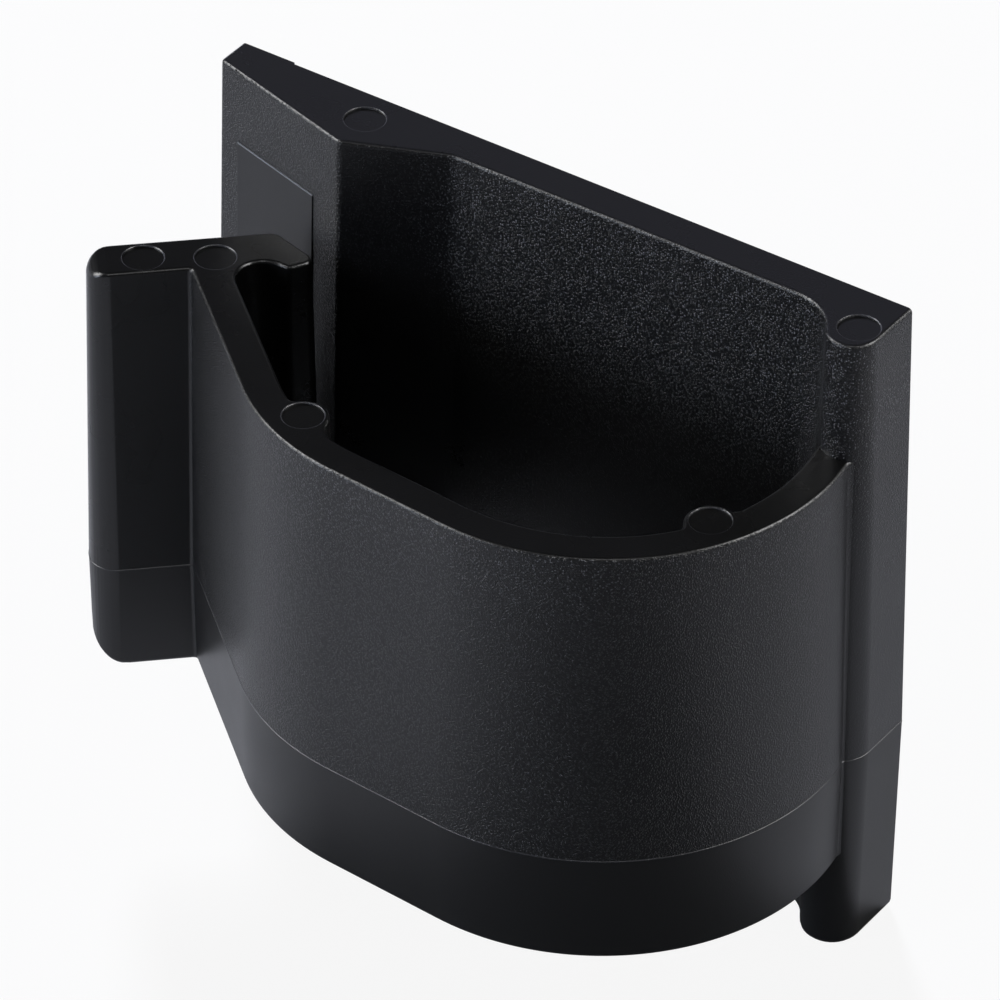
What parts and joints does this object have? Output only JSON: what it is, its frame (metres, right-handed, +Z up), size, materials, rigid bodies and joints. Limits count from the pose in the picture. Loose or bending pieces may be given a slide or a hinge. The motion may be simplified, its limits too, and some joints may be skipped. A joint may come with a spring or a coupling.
{
  "type": "rod holder clip",
  "caption": "Wall-mounted rod holder: a flat back plate with a springy curved strap that closes a rod pocket behind a nose and thumb tab.",
  "frame": {"origin": "middle of the flat back face, the face that goes against the wall", "axes": "+Z up, +Y out of the back face into the wall, +X from the free end of the plate to its hinge post; the strap and the pocket are on the -Y side"},
  "size_m": [0.0676, 0.0326, 0.06],
  "materials": {
    "moulded_plastic": "fine spark-eroded grain above the parting line, satin below it",
    "smooth_plastic": "smooth satin"
  },
  "bodies": {
    "root": {"back_plate": "moulded_plastic", "entry_ramp": "moulded_plastic", "ramp_pad": "smooth_plastic", "hinge_post": "moulded_plastic", "strap_root": "moulded_plastic"},
    "strap_side": {"strap_side": "moulded_plastic"},
    "strap_front": {"strap_corner": "moulded_plastic", "strap_front": "moulded_plastic", "shoulder_front": "moulded_plastic"},
    "gate": {"shoulder_rear": "moulded_plastic", "strap_arm": "moulded_plastic", "gate_nose": "moulded_plastic", "thumb_tab": "moulded_plastic"}
  },
  "joints": [
    {"name": "root_flex", "type": "hinge", "parent": "root", "child": "strap_side", "pos_m": [0.03224, -0.00983, 0], "axis": [0, 0, 1], "range_deg": [0, 5], "stiffness_Nm_per_rad": 11},
    {"name": "corner_flex", "type": "hinge", "parent": "strap_side", "child": "strap_front", "pos_m": [0.02687, -0.02541, 0], "axis": [0, 0, 1], "range_deg": [0, 10], "stiffness_Nm_per_rad": 5},
    {"name": "shoulder_flex", "type": "hinge", "parent": "strap_front", "child": "gate", "pos_m": [-0.00508, -0.03098, 0], "axis": [0, 0, 1], "range_deg": [0, 4], "stiffness_Nm_per_rad": 3.4}
  ],
  "couplings": [
    {"joint": "corner_flex", "follows": "root_flex", "ratio": 2},
    {"joint": "shoulder_flex", "follows": "root_flex", "ratio": 0.8}
  ]
}
